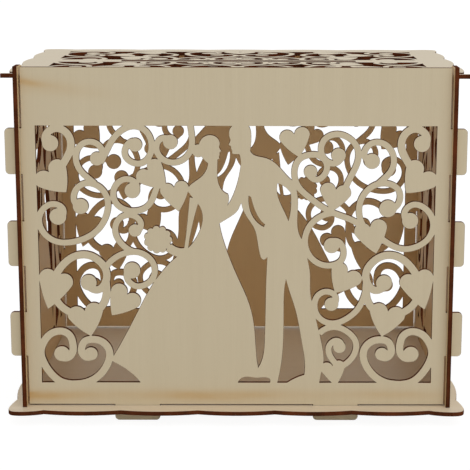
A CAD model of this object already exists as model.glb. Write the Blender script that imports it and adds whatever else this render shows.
# %% [markdown]
# # A wedding card box of laser-cut plywood
# The real box is a kit: six flat sheets of pale basswood plywood that slot together with tabs.
# A laser cuts the scrolls, the hearts and the couple, and leaves every cut edge burnt dark brown.
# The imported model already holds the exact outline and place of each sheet, so this lesson starts
# from it and gives the sheets what the eye looks for: veneers, soft arrises, grain and char.

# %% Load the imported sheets
import math

import bmesh
import bpy
from mathutils import Matrix, Vector


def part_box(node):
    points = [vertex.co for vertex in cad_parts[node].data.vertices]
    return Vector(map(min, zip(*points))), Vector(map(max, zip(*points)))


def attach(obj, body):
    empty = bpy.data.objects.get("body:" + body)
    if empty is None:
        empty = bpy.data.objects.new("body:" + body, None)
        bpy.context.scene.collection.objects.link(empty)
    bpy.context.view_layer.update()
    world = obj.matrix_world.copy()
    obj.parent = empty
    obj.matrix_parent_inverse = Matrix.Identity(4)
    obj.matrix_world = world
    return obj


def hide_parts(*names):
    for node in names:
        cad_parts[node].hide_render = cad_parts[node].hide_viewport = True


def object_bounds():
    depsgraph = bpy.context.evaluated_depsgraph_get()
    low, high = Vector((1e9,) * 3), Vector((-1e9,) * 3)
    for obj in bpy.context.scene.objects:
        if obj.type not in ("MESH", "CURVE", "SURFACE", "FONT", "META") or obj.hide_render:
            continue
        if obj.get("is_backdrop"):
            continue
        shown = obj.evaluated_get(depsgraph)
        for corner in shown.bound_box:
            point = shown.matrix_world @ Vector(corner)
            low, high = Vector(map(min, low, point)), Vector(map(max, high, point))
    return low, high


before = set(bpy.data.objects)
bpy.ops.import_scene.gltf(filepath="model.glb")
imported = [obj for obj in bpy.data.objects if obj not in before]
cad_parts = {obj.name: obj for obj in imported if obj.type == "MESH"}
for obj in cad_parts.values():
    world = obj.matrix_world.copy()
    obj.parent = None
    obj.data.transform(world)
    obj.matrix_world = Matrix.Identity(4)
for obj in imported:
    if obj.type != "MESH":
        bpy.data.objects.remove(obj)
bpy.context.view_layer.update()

scene = bpy.context.scene
print("sheets:", sorted(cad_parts))

# %% [markdown]
# ## How each sheet lies
# Every sheet has a show face, and its wood has a grain that runs one way. On the walls the fibres
# stand upright. On the base and the lid they run along the length. One table keeps the two
# directions, so that all later steps can treat the six sheets alike. It also gives each sheet a
# place of its own on the board that the figure is drawn on, because no two sheets of a kit look
# the same, and the body that the sheet moves with: only the lid swings.

# %% Directions of the six sheets
X, Y, Z = Vector((1, 0, 0)), Vector((0, 1, 0)), Vector((0, 0, 1))
SHEETS = {
    "base_plate": {"show": Z, "grain": X, "place": (0.0, 0.0), "body": "box"},
    "front_panel": {"show": -Y, "grain": Z, "place": (0.6, 0.1), "body": "box"},
    "back_panel": {"show": Y, "grain": Z, "place": (1.2, 0.7), "body": "box"},
    "left_panel": {"show": -X, "grain": Z, "place": (1.8, 0.3), "body": "box"},
    "right_panel": {"show": X, "grain": Z, "place": (2.4, 0.9), "body": "box"},
    "lid": {"show": Z, "grain": X, "place": (3.0, 0.5), "body": "lid"},
}
for name, sheet in SHEETS.items():
    low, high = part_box(name)
    sheet["thickness"] = abs((high - low).dot(sheet["show"]))
    print(name, "is %.2f mm thick" % (sheet["thickness"] * 1000))

# %% [markdown]
# ## Finding the outline
# A sheet's whole shape is in the outline of its show face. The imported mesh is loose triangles, so
# a copy is merged first, and then only the show face is kept. Each point on the outline also gets
# a small vector that points out of the wood, because the burnt edge is a little hollow and its
# arrises are soft, and both are moves along that vector. At a corner the vector is longer, so that
# the two sides of the corner move alike.

# %% Show face of a sheet
SAME_POINT = 2e-6  # metres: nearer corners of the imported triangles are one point
FACING = 0.999  # how nearly a triangle of the show face looks the show way
INSIDE = 1e-3  # a shorter sum of ways out belongs to a point inside the face
CORNER_STRETCH = 1.6  # a sharp corner moves at most this many times as far as a side


def ways_out(bm):
    """For each point of a flat outline, the way out of the wood, longer at a corner."""
    sides = {vert: [] for vert in bm.verts}
    for edge in bm.edges:
        if edge.is_boundary:
            loop = edge.link_loops[0]
            along = loop.link_loop_next.vert.co - loop.vert.co
            out = along.cross(loop.face.normal).normalized()
            for vert in edge.verts:
                sides[vert].append(out)
    found = []
    for vert in bm.verts:
        total = sum(sides[vert], Vector())
        if total.length < INSIDE:
            found.append(Vector())
            continue
        middle = total.normalized()
        lean = max(1 / CORNER_STRETCH, middle.dot(sides[vert][0]))
        found.append(middle * (1 / lean))
    return found


def show_face(name, show):
    bm = bmesh.new()
    bm.from_mesh(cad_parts[name].data)
    bmesh.ops.remove_doubles(bm, verts=bm.verts, dist=SAME_POINT)
    bm.normal_update()
    others = [face for face in bm.faces if face.normal.dot(show) < FACING]
    bmesh.ops.delete(bm, geom=others, context="FACES")
    bm.verts.index_update()
    mesh = bpy.data.meshes.new(name + "_outline")
    outs = ways_out(bm)
    bm.to_mesh(mesh)
    bm.free()
    outward = mesh.attributes.new("outward", "FLOAT_VECTOR", "POINT")
    outward.data.foreach_set("vector", [x for out in outs for x in out])
    return mesh


for name, sheet in SHEETS.items():
    sheet["outline"] = show_face(name, sheet["show"])
    print(name, "outline has", len(sheet["outline"].vertices), "points")

# %% [markdown]
# ## Plywood from its veneers
# Plywood is the same outline repeated through the thickness, veneer upon veneer. It could be
# extruded by hand, sheet after sheet, but it is one rule for all six, so a Geometry Nodes tree
# builds it. The tree asks for what differs from sheet to sheet and for the measures of the burnt
# edge. A few helpers come first, because a tree made by script is mostly nodes and links.

# %% Start the veneer tree
def place(tree, kind, **settings):
    """Add a node and set its properties."""
    node = tree.nodes.new(kind)
    for key, value in settings.items():
        setattr(node, key, value)
    return node


def feed(tree, node, values):
    """Link outputs to a node's inputs, by name or number, or write plain values on them."""
    for label, value in values.items():
        if isinstance(value, bpy.types.NodeSocket):
            tree.links.new(value, node.inputs[label])
        else:
            node.inputs[label].default_value = value


def wired(tree, kind, values, **settings):
    """Add a node, feed it, and give back its outputs."""
    node = place(tree, kind, **settings)
    feed(tree, node, values)
    return node.outputs


def new_tree(label, kind, inputs, outputs):
    """A new node group with its named sockets, and the nodes at its two ends."""
    tree = bpy.data.node_groups.new(label, kind)
    for in_out, sockets in (("INPUT", inputs), ("OUTPUT", outputs)):
        for name, socket in sockets.items():
            tree.interface.new_socket(name, in_out=in_out, socket_type="NodeSocket" + socket)
    return tree, place(tree, "NodeGroupInput").outputs, place(tree, "NodeGroupOutput")


LAYUP_INPUTS = {
    "Outline": "Geometry",
    "Show": "Vector",
    "Thickness": "Float",
    "Rings": "Int",
    "Arris": "Float",
    "Core burn": "Float",
    "Face finish": "Material",
    "Far finish": "Material",
    "Edge finish": "Material",
}
veneer_layup, layup_asks, layup_end = new_tree(
    "veneer_layup", "GeometryNodeTree", LAYUP_INPUTS, {"Sheet": "Geometry"}
)
print("veneer tree asks for", list(LAYUP_INPUTS))

# %% [markdown]
# ## Far face
# The tree starts at the far side of the sheet. The show face is sent straight through the
# thickness and drawn in by the soft arris. Every ring of points writes its depth in the sheet, 0
# at the far face and 1 at the show face, for the edge finish to read, and this face is the first.

# %% Send the outline to the far side
def reckon(tree, operation, *values):
    return wired(tree, "ShaderNodeMath", dict(enumerate(values)), operation=operation)[0]


def times(tree, one, other):
    return reckon(tree, "MULTIPLY", one, other)


def scaled(tree, vector, factor):
    return wired(tree, "ShaderNodeVectorMath", {0: vector, "Scale": factor}, operation="SCALE")[0]


def with_depth(tree, geometry, depth, chosen=True):
    """Write a ring's depth on its points."""
    values = {"Geometry": geometry, "Selection": chosen, "Name": "depth", "Value": depth}
    kind = "GeometryNodeStoreNamedAttribute"
    return wired(tree, kind, values, data_type="FLOAT", domain="POINT")[0]


def far_side(tree, given, outward):
    down = scaled(tree, given["Show"], times(tree, given["Thickness"], -1.0))
    inward = scaled(tree, outward, times(tree, given["Arris"], -1.0))
    shift = wired(tree, "ShaderNodeVectorMath", {0: down, 1: inward}, operation="ADD")[0]
    sent = {"Geometry": given["Outline"], "Offset": shift}
    return with_depth(tree, wired(tree, "GeometryNodeSetPosition", sent)[0], 0.0)


outward = wired(
    veneer_layup, "GeometryNodeInputNamedAttribute", {"Name": "outward"}, data_type="FLOAT_VECTOR"
)["Attribute"]
far_face = far_side(veneer_layup, layup_asks, outward)
print("far face is made by", len(veneer_layup.nodes), "nodes")

# %% [markdown]
# ## Rings through the thickness
# A repeat zone now lifts the far face to the show face, ring by ring. The rings lie close together
# near both faces, and two of them lie at the glue lines. Each ring steps in a little: most at the
# two faces, where the char has softened the arris, and slightly at the core veneer, which burns
# back further than the veneers beside it.

# %% Lift the rings
RING_ITEMS = {"Top": "BOOLEAN", "Ring": "FLOAT", "Depth": "FLOAT", "Inset": "FLOAT"}


def ring_depth(tree, ring, count):
    """Half a turn of a cosine, from 0 at the far face to 1 at the show face."""
    turn = times(tree, reckon(tree, "DIVIDE", ring, count), math.pi)
    return reckon(tree, "MULTIPLY_ADD", reckon(tree, "COSINE", turn), -0.5, 0.5)


def step_in(tree, depth, arris, core):
    """How far a ring at this depth lies inside the outline."""
    side = reckon(tree, "MULTIPLY_ADD", depth, 2.0, -1.0)
    square = times(tree, side, side)
    eighth = reckon(tree, "POWER", square, 4.0)
    hollow = times(tree, reckon(tree, "SUBTRACT", 1.0, square), core)
    return reckon(tree, "MULTIPLY_ADD", eighth, arris, hollow)


def lifted(tree, given, outward, start):
    """The edge and the show face, lifted from the far face."""
    begin = place(tree, "GeometryNodeRepeatInput")
    end = place(tree, "GeometryNodeRepeatOutput")
    begin.pair_with_output(end)
    for label, kind in RING_ITEMS.items():
        end.repeat_items.new(kind, label)
    feed(tree, begin, {"Iterations": given["Rings"], "Geometry": start})
    feed(tree, begin, {"Top": True, "Inset": given["Arris"]})
    last = begin.outputs
    ring = reckon(tree, "ADD", last["Ring"], 1.0)
    depth = ring_depth(tree, ring, given["Rings"])
    inset = step_in(tree, depth, given["Arris"], given["Core burn"])
    rise = times(tree, reckon(tree, "SUBTRACT", depth, last["Depth"]), given["Thickness"])
    risen = {"Mesh": last["Geometry"], "Selection": last["Top"], "Individual": False}
    risen.update({"Offset": given["Show"], "Offset Scale": rise})
    lift = wired(tree, "GeometryNodeExtrudeMesh", risen, mode="FACES")
    grow = scaled(tree, outward, reckon(tree, "SUBTRACT", last["Inset"], inset))
    stepped = {"Geometry": lift["Mesh"], "Selection": lift["Top"], "Offset": grow}
    step = wired(tree, "GeometryNodeSetPosition", stepped)[0]
    feed(tree, end, {"Geometry": with_depth(tree, step, depth, lift["Top"])})
    feed(tree, end, {"Top": lift["Top"], "Ring": ring, "Depth": depth, "Inset": inset})
    return end.outputs["Geometry"]


edge_and_show = lifted(veneer_layup, layup_asks, outward, far_face)
print("with its rings the tree has", len(veneer_layup.nodes), "nodes")

# %% [markdown]
# ## Three finishes on one sheet
# The far face is turned to look outwards and welded to the rings, which closes the sheet. A face
# is then told from an edge by the way it looks: along the show direction, against it, or across
# it. Each of the three gets its own finish.

# %% Close the sheet and end the tree
WELD = 1e-6  # metres
FLAT = 0.9  # a face looks at least this much along or against the show direction


def closed(tree, far, rings):
    both = place(tree, "GeometryNodeJoinGeometry")
    for geometry in (wired(tree, "GeometryNodeFlipFaces", {0: far})[0], rings):
        feed(tree, both, {0: geometry})
    welded = {"Geometry": both.outputs[0], "Distance": WELD}
    return wired(tree, "GeometryNodeMergeByDistance", welded)[0]


def finished(tree, given, sheet):
    looks = {0: place(tree, "GeometryNodeInputNormal").outputs[0], 1: given["Show"]}
    lean = wired(tree, "ShaderNodeVectorMath", looks, operation="DOT_PRODUCT")["Value"]
    shown = reckon(tree, "GREATER_THAN", lean, FLAT)
    hidden = reckon(tree, "LESS_THAN", lean, -FLAT)
    made = wired(tree, "GeometryNodeRealizeInstances", {"Geometry": sheet})[0]
    for label, chosen in (("Edge finish", True), ("Face finish", shown), ("Far finish", hidden)):
        coat = {"Geometry": made, "Selection": chosen, "Material": given[label]}
        made = wired(tree, "GeometryNodeSetMaterial", coat)[0]
    return made


whole_sheet = closed(veneer_layup, far_face, edge_and_show)
feed(veneer_layup, layup_end, {"Sheet": finished(veneer_layup, layup_asks, whole_sheet)})
print("veneer tree has", len(veneer_layup.nodes), "nodes")

# %% [markdown]
# ## Wood figure as a shader group
# Basswood is plain: very fine straight fibres, short darker flecks and slow cloudy changes of
# tone. All the faces share these, so they are one node group that reads a flat map of the sheet in
# metres, with the grain along its second axis. Each is a noise that is stretched along the grain.
# The group only gives out masks and a height, and each material decides what colours they mix.

# %% Basswood figure group
FIGURE_OUTPUTS = ["Fibre", "Fleck", "Cloud", "Height"]
# cells of noise in a metre: across the grain, along it and off the sheet
FIBRE_CELLS = (1500, 22, 1)
BAND_CELLS = (140, 3.5, 1)
FLECK_CELLS = (2100, 170, 1)
CLOUD_CELLS = (18, 7, 1)
PORE_CELLS = (3200, 60, 1)
FIBRE_SHARE, BAND_SHARE = 0.55, 0.45
BAND_WAVE = 0.4
FLECK_RANGE = (0.66, 0.78)
PORE_SHARE = 0.4


def noise(tree, point, cells, detail, roughness=0.55, distortion=0.0):
    stretched = wired(tree, "ShaderNodeMapping", {"Vector": point, "Scale": cells})[0]
    values = {"Vector": stretched, "Scale": 1.0, "Detail": detail}
    values.update({"Roughness": roughness, "Distortion": distortion})
    return wired(tree, "ShaderNodeTexNoise", values)[0]


def ramp(tree, value, low, high):
    """0 at low, 1 at high, smooth between."""
    values = {"Value": value, "From Min": low, "From Max": high}
    return wired(tree, "ShaderNodeMapRange", values, interpolation_type="SMOOTHSTEP")[0]


def blend(tree, one, share, other, other_share):
    """The sum of two values, each by its share."""
    return reckon(tree, "MULTIPLY_ADD", one, share, times(tree, other, other_share))


def basswood_figure():
    sockets = {label: "Float" for label in FIGURE_OUTPUTS}
    group, given, end = new_tree("basswood_figure", "ShaderNodeTree", {"Board": "Vector"}, sockets)
    board = given["Board"]
    fibre = noise(group, board, FIBRE_CELLS, detail=4)
    band = noise(group, board, BAND_CELLS, detail=3, distortion=BAND_WAVE)
    fleck = noise(group, board, FLECK_CELLS, detail=1)
    pore = noise(group, board, PORE_CELLS, detail=2)
    feed(group, end, {
        "Fibre": blend(group, fibre, FIBRE_SHARE, band, BAND_SHARE),
        "Fleck": ramp(group, fleck, *FLECK_RANGE),
        "Cloud": noise(group, board, CLOUD_CELLS, detail=2),
        "Height": reckon(group, "MULTIPLY_ADD", pore, PORE_SHARE, fibre),
    })
    return group


figure_group = basswood_figure()
print("figure group has", len(figure_group.nodes), "nodes and gives", FIGURE_OUTPUTS)

# %% [markdown]
# ## Amber stain as a shader group
# The laser's smoke and the resin in the wood leave amber bands on thin plywood. On this box they
# run along the foot of the front, and short streaks fan out from its top left corner. The group
# draws one soft streak: a centre line with a slope that wanders a little, a width, and a place
# where it is strongest. It reads Object coordinates, since a stain belongs to one spot of one
# sheet.

# %% Stain group
STREAK_INPUTS = ["Height", "Slope", "Width", "Strong at", "Reach"]
WANDER_CELLS = (14, 14, 40)
WANDER = 0.004  # metres from the lowest to the highest wander of the centre line
PATCH_CELLS = (45, 45, 160)
FAINT_PATCH, PATCH_RANGE = 0.6, 0.8


def bell(tree, value, width):
    """1 where the value is 0, falling softly to nothing a few widths away."""
    share = reckon(tree, "DIVIDE", value, width)
    return reckon(tree, "EXPONENT", times(tree, times(tree, share, share), -1.0))


def stain_streak():
    sockets = {"Point": "Vector", **{label: "Float" for label in STREAK_INPUTS}}
    group, given, end = new_tree("stain_streak", "ShaderNodeTree", sockets, {"Stain": "Float"})
    spot = wired(group, "ShaderNodeSeparateXYZ", {0: given["Point"]})
    away = reckon(group, "SUBTRACT", spot["X"], given["Strong at"])
    line = reckon(group, "MULTIPLY_ADD", away, given["Slope"], given["Height"])
    wander = reckon(group, "SUBTRACT", noise(group, given["Point"], WANDER_CELLS, detail=2), 0.5)
    line = reckon(group, "MULTIPLY_ADD", wander, WANDER, line)
    across = bell(group, reckon(group, "SUBTRACT", spot["Z"], line), given["Width"])
    along = bell(group, away, given["Reach"])
    patch = noise(group, given["Point"], PATCH_CELLS, detail=3)
    worn = reckon(group, "MULTIPLY_ADD", patch, PATCH_RANGE, FAINT_PATCH)
    feed(group, end, {"Stain": times(group, times(group, across, along), worn)})
    return group


stain_group = stain_streak()
print("stain group has", len(stain_group.nodes), "nodes and asks for", STREAK_INPUTS)

# %% [markdown]
# ## Face finish
# Bare sanded basswood is pale, a little warm and almost matt. Grain, flecks and clouds each change
# the colour by a few percent, never more, because the wood is known for its calm face. The fine
# fibres also give a very low bump. Each sheet gets its own tone, as veneers in one kit differ. The
# far faces, which on the walls and the lid look into the box, are browner, because smoke settles
# on the underside of a sheet while it is cut. They all share one smoked finish.

# %% Wood of one face
PALE = (0.690, 0.585, 0.400)
DEEP = (0.662, 0.556, 0.374)
FLECK = (0.480, 0.370, 0.215)
AMBER = (0.587, 0.363, 0.129)
SMOKED_TONE = (1.10, 0.92, 0.70)
FIBRE_RANGE = (0.3, 0.72)
CLOUD_RANGE = (0.35, 0.75)
CLOUD_SHARE, FLECK_SHARE = 0.35, 0.22
SANDED, FIBRE_ROUGH = 0.37, 0.12
FIBRE_BUMP = {"Strength": 0.22, "Distance": 0.00012}


def new_finish(label):
    material = bpy.data.materials.new(label)
    material.use_nodes = True
    return material, material.node_tree, material.node_tree.nodes["Principled BSDF"]


def mixed(tree, share, low, high):
    """A colour between two; the node's colours are its inputs 6 and 7 and its output 2."""
    return wired(tree, "ShaderNodeMix", {"Factor": share, 6: low, 7: high}, data_type="RGBA")[2]


def tinted(colour, tone=(1, 1, 1)):
    return tuple(min(1.0, c * t) for c, t in zip(colour, tone)) + (1.0,)


def board_map(tree):
    return place(tree, "ShaderNodeUVMap", uv_map="Board").outputs[0]


def stained(tree, colour, stains):
    """The colour with amber streaks on it."""
    for strength, *values in stains:
        drawn = dict(zip(STREAK_INPUTS, values))
        drawn["Point"] = place(tree, "ShaderNodeTexCoord").outputs["Object"]
        streak = wired(tree, "ShaderNodeGroup", drawn, node_tree=stain_group)["Stain"]
        colour = mixed(tree, times(tree, streak, strength), colour, tinted(AMBER))
    return colour


def wood_face(label, tone, stains=()):
    material, tree, bsdf = new_finish(label)
    figure = wired(tree, "ShaderNodeGroup", {"Board": board_map(tree)}, node_tree=figure_group)
    pale, deep, fleck = (tinted(colour, tone) for colour in (PALE, DEEP, FLECK))
    colour = mixed(tree, ramp(tree, figure["Fibre"], *FIBRE_RANGE), pale, deep)
    cloud = ramp(tree, figure["Cloud"], *CLOUD_RANGE)
    colour = mixed(tree, times(tree, cloud, CLOUD_SHARE), colour, deep)
    colour = mixed(tree, times(tree, figure["Fleck"], FLECK_SHARE), colour, fleck)
    bump = wired(tree, "ShaderNodeBump", {"Height": figure["Height"], **FIBRE_BUMP})[0]
    feed(tree, bsdf, {
        "Base Color": stained(tree, colour, stains),
        "Roughness": reckon(tree, "MULTIPLY_ADD", figure["Fibre"], FIBRE_ROUGH, SANDED),
        "Normal": bump,
    })
    return material


smoked_face = wood_face("smoked_basswood", SMOKED_TONE)
print("finish of the far faces:", smoked_face.name)

# %% [markdown]
# ## A tone for each sheet
# The base and the lid are the whitest sheets of this box, and the walls differ by a few percent.
# Only the front carries stains. Four soft bands lie along its foot, two of them at the left end,
# and grow fainter to the right. Two thin streaks slope down from its top left corner. All are rows
# of one list, so a stain is moved or made fainter by changing a number.

# %% Make the face finishes
FRONT_STAINS = [
    # strength, height, slope, width, strong at, reach; the lengths in metres
    (0.76, 0.0179, 0.0, 0.0036, -0.148, 0.045),
    (0.80, 0.0197, 0.0, 0.0009, -0.148, 0.007),
    (0.60, 0.0184, 0.0, 0.0038, -0.020, 0.062),
    (0.34, 0.0189, 0.0, 0.0034, 0.108, 0.040),
    (0.75, 0.2404, -0.16, 0.0022, -0.148, 0.016),
    (0.25, 0.2379, -0.13, 0.0050, -0.140, 0.045),
]
SHEET_TONES = {
    "base_plate": (1.05, 1.03, 1.10),
    "front_panel": (1.0, 1.0, 1.0),
    "back_panel": (0.98, 0.97, 0.95),
    "left_panel": (1.01, 1.0, 0.98),
    "right_panel": (1.0, 0.99, 0.97),
    "lid": (1.03, 1.04, 1.10),
}
for name, tone in SHEET_TONES.items():
    stains = FRONT_STAINS if name == "front_panel" else ()
    SHEETS[name]["face"] = wood_face("basswood_" + name, tone, stains)
print("face finishes:", [sheet["face"].name for sheet in SHEETS.values()])

# %% [markdown]
# ## Burnt edge
# A laser leaves the cut edge charred: dark red-brown, with fine marks across the thickness where
# the beam pulsed, nearly black along the two glue lines and darker again at both rims. The marks
# come from a noise on the flat map, which doesn't change across the thickness, so they stand like
# grooves. The glue lines and the rims come from the depth that the veneer tree wrote.

# %% Make the edge finish
MARK_CELLS = (1900, 1900, 1)
DRIFT_CELLS = (60, 60, 1)
MARK_SHARE, DRIFT_SHARE = 0.4, 0.6
MARK_BREAK = 0.6  # roughness of the noise
HEAT_RANGE = (0.3, 0.7)
DARK_CHAR = (0.055, 0.016, 0.006)
WARM_CHAR = (0.150, 0.038, 0.012)
GLUE = (0.022, 0.009, 0.006)
RIM = (0.040, 0.015, 0.008)
GLUE_SHARE, RIM_SHARE = 0.6, 0.5
# shares of the thickness, measured from the middle of the sheet
GLUE_AT, GLUE_HALF_WIDTH = 0.165, 0.05
RIM_RANGE = (0.40, 0.5)
SOOT, MARK_ROUGH = 0.75, 0.2
SOOT_SHINE = 0.04
MARK_BUMP = {"Strength": 0.5, "Distance": 0.0002}


def apart(tree, value, other):
    """How far two values lie apart."""
    return reckon(tree, "ABSOLUTE", reckon(tree, "SUBTRACT", value, other))


def burnt_edge():
    material, tree, bsdf = new_finish("laser_char")
    board = board_map(tree)
    depth = place(tree, "ShaderNodeAttribute", attribute_name="depth").outputs["Fac"]
    marks = noise(tree, board, MARK_CELLS, detail=2, roughness=MARK_BREAK)
    drift = noise(tree, board, DRIFT_CELLS, detail=2)
    heat = ramp(tree, blend(tree, drift, DRIFT_SHARE, marks, MARK_SHARE), *HEAT_RANGE)
    colour = mixed(tree, heat, tinted(DARK_CHAR), tinted(WARM_CHAR))
    side = apart(tree, depth, 0.5)
    glue = ramp(tree, apart(tree, side, GLUE_AT), GLUE_HALF_WIDTH, 0.0)
    colour = mixed(tree, times(tree, glue, GLUE_SHARE), colour, tinted(GLUE))
    rim = ramp(tree, side, *RIM_RANGE)
    colour = mixed(tree, times(tree, rim, RIM_SHARE), colour, tinted(RIM))
    feed(tree, bsdf, {
        "Base Color": colour,
        "Roughness": reckon(tree, "MULTIPLY_ADD", marks, MARK_ROUGH, SOOT),
        "Normal": wired(tree, "ShaderNodeBump", {"Height": marks, **MARK_BUMP})[0],
        "Specular IOR Level": SOOT_SHINE,
    })
    return material


laser_char = burnt_edge()
print("edge finish:", laser_char.name)

# %% [markdown]
# ## Building the six sheets
# Each outline now goes through the veneer tree. The result is turned into a plain mesh and the
# modifier is gone before the piece is tied to its body, so nothing is worked out again later. The
# flat map is written on the plain mesh: across the grain and along it, in metres, moved to the
# sheet's own place on the board. Curved cut edges are shaded smooth and the arrises stay crisp.

# %% Run the veneer tree
RINGS = 5
ARRIS = 0.00023  # metres that the char has taken off at the two faces
CORE_BURN = 0.00005  # metres that the core has burnt back
CRISP = math.radians(38)  # a sharper bend stays an edge
LAYUP_KEYS = {item.name: item.identifier for item in veneer_layup.interface.items_tree}


def lay_up(name, sheet):
    flat = bpy.data.objects.new(name + "_flat", sheet["outline"])
    scene.collection.objects.link(flat)
    layup = flat.modifiers.new("veneers", "NODES")
    layup.node_group = veneer_layup
    for label, value in (
        ("Show", tuple(sheet["show"])),
        ("Thickness", sheet["thickness"]),
        ("Rings", RINGS),
        ("Arris", ARRIS),
        ("Core burn", CORE_BURN),
        ("Face finish", sheet["face"]),
        ("Far finish", smoked_face),
        ("Edge finish", laser_char),
    ):
        layup[LAYUP_KEYS[label]] = value
    ready = bpy.context.evaluated_depsgraph_get()
    mesh = bpy.data.meshes.new_from_object(flat.evaluated_get(ready), depsgraph=ready)
    flat.modifiers.clear()
    bpy.data.objects.remove(flat)
    mesh.name = name + "_veneers"
    return mesh


def map_board(mesh, sheet):
    """Flat map in metres: u across the grain, v along it."""
    across = sheet["grain"].cross(sheet["show"])
    board = mesh.uv_layers.new(name="Board")
    points = [vert.co for vert in mesh.vertices]
    left, low = sheet["place"]
    for loop in mesh.loops:
        co = points[loop.vertex_index]
        board.data[loop.index].uv = (left + co.dot(across), low + co.dot(sheet["grain"]))


for name, sheet in SHEETS.items():
    mesh = lay_up(name, sheet)
    map_board(mesh, sheet)
    mesh.set_sharp_from_angle(angle=CRISP)
    cut = mesh.materials.find(laser_char.name)
    mesh.polygons.foreach_set("use_smooth", [face.material_index == cut for face in mesh.polygons])
    piece = bpy.data.objects.new(name + "_sheet", mesh)
    scene.collection.objects.link(piece)
    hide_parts(name)
    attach(piece, sheet["body"])
    print(piece.name, "has", sum(len(face.vertices) - 2 for face in mesh.polygons), "triangles")

# %% [markdown]
# ## White table
# The box stands on a plain white table without an edge in sight. In the picture the table is as
# good as pure white, but a floor that bright would throw too much light up the walls. So the
# material mixes two whites: the camera sees a table that glows evenly, with only a faint shadow
# under the box, and the box is lit by a duller one.

# %% Lay the table
TABLE_REACH = 30.0
SEEN_GREY, SEEN_GLOW = 0.12, 0.93
LIT_GREY = 0.65
MATT = {"Roughness": 0.9, "Specular IOR Level": 0.1}


def grey(level):
    return (level, level, level, 1)


def white_table():
    material, tree, seen = new_finish("white_table")
    feed(tree, seen, {"Base Color": grey(SEEN_GREY), **MATT})
    feed(tree, seen, {"Emission Color": grey(1), "Emission Strength": SEEN_GLOW})
    lit = wired(tree, "ShaderNodeBsdfPrincipled", {"Base Color": grey(LIT_GREY), **MATT})[0]
    straight = place(tree, "ShaderNodeLightPath").outputs["Is Camera Ray"]
    whites = {"Fac": straight, 1: lit, 2: seen.outputs[0]}
    either = wired(tree, "ShaderNodeMixShader", whites)[0]
    feed(tree, tree.nodes["Material Output"], {"Surface": either})
    return material


corners = [(TABLE_REACH * x, TABLE_REACH * y, 0) for x, y in ((-1, -1), (1, -1), (1, 1), (-1, 1))]
floor_mesh = bpy.data.meshes.new("floor")
floor_mesh.from_pydata(corners, [], [(0, 1, 2, 3)])
floor_mesh.materials.append(white_table())
floor = bpy.data.objects.new("floor", floor_mesh)
scene.collection.objects.link(floor)
floor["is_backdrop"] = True
print("table reaches", TABLE_REACH, "m each way")

# %% [markdown]
# ## Light
# The room is bright and white all round, which fills the shadows and shows through the fretwork. A
# wide soft light from above, a little in front and to the right, makes the lid and the base plate
# lighter than the walls. It is a sun with a very wide disc, so it lights near and far alike. A
# second soft light stands in front on the right and lifts the front panel.

# %% Hang the lights
ROOM_STRENGTH = 0.64


def hang(lamp, turn, where=(0, 0, 0)):
    holder = bpy.data.objects.new(lamp.name, lamp)
    holder.location = where
    holder.rotation_euler = turn.to_euler()
    scene.collection.objects.link(holder)


def soft_light(label, where, towards, size, power):
    lamp = bpy.data.lights.new(label, "AREA")
    lamp.shape = "SQUARE"
    lamp.size = size
    lamp.energy = power
    hang(lamp, (Vector(towards) - Vector(where)).to_track_quat("-Z", "Y"), where)


def soft_sky(label, towards_light, spread, strength):
    lamp = bpy.data.lights.new(label, "SUN")
    lamp.angle = math.radians(spread)
    lamp.energy = strength
    hang(lamp, Vector(towards_light).to_track_quat("Z", "Y"))


white_room = bpy.data.worlds.new("white_room")
white_room.use_nodes = True
background = white_room.node_tree.nodes["Background"]
feed(white_room.node_tree, background, {"Color": grey(1), "Strength": ROOM_STRENGTH})
scene.world = white_room
soft_light("front_light", where=(0.9, -1.3, 0.9), towards=(0, 0, 0.15), size=1.2, power=2.9)
soft_sky("overhead", towards_light=(0.2, -0.25, 1.0), spread=60, strength=0.68)
scene.view_settings.view_transform = "Standard"

# %% [markdown]
# ## Camera
# The picture was taken from straight in front, a good metre away and a little above the lid, so
# the lid is seen almost edge on. The lens is long. A small shift puts the box where it stands in
# the frame.

# %% Place the camera
CAMERA_AT = (0.01583, -1.10173, 0.34125)
YAW, PITCH, ROLL = 0.0040, 0.2021, -0.0027  # radians
FOCAL_PX, FRAME_PX = 1472.93, 470
SHIFT_PX = (-30.0, -3.85)
SENSOR_MM = 36.0
SIGHT_END = 100.0  # metres, beyond the far edge of the table


def photo_camera():
    data = bpy.data.cameras.new("camera")
    data.sensor_width = SENSOR_MM
    data.lens = FOCAL_PX / FRAME_PX * SENSOR_MM
    data.shift_x, data.shift_y = (shift / FRAME_PX for shift in SHIFT_PX)
    data.clip_end = SIGHT_END
    level = math.cos(PITCH)
    ahead = Vector((math.sin(YAW) * level, math.cos(YAW) * level, -math.sin(PITCH)))
    right = ahead.cross(Z).normalized()
    up = right.cross(ahead)
    tilted_right = right * math.cos(ROLL) - up * math.sin(ROLL)
    tilted_up = right * math.sin(ROLL) + up * math.cos(ROLL)
    camera = bpy.data.objects.new("camera", data)
    turn = Matrix((tilted_right, tilted_up, -ahead)).transposed()
    camera.matrix_world = Matrix.Translation(CAMERA_AT) @ turn.to_4x4()
    scene.collection.objects.link(camera)
    return camera


scene.camera = photo_camera()
print("camera stands at", [round(x, 3) for x in scene.camera.matrix_world.translation])

# %% [markdown]
# Looks must not change the size of the box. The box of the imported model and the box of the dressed
# one are written side by side.

# %% Measure and finish
low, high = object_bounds()
print("dressed box from", [round(x, 4) for x in low], "to", [round(x, 4) for x in high])
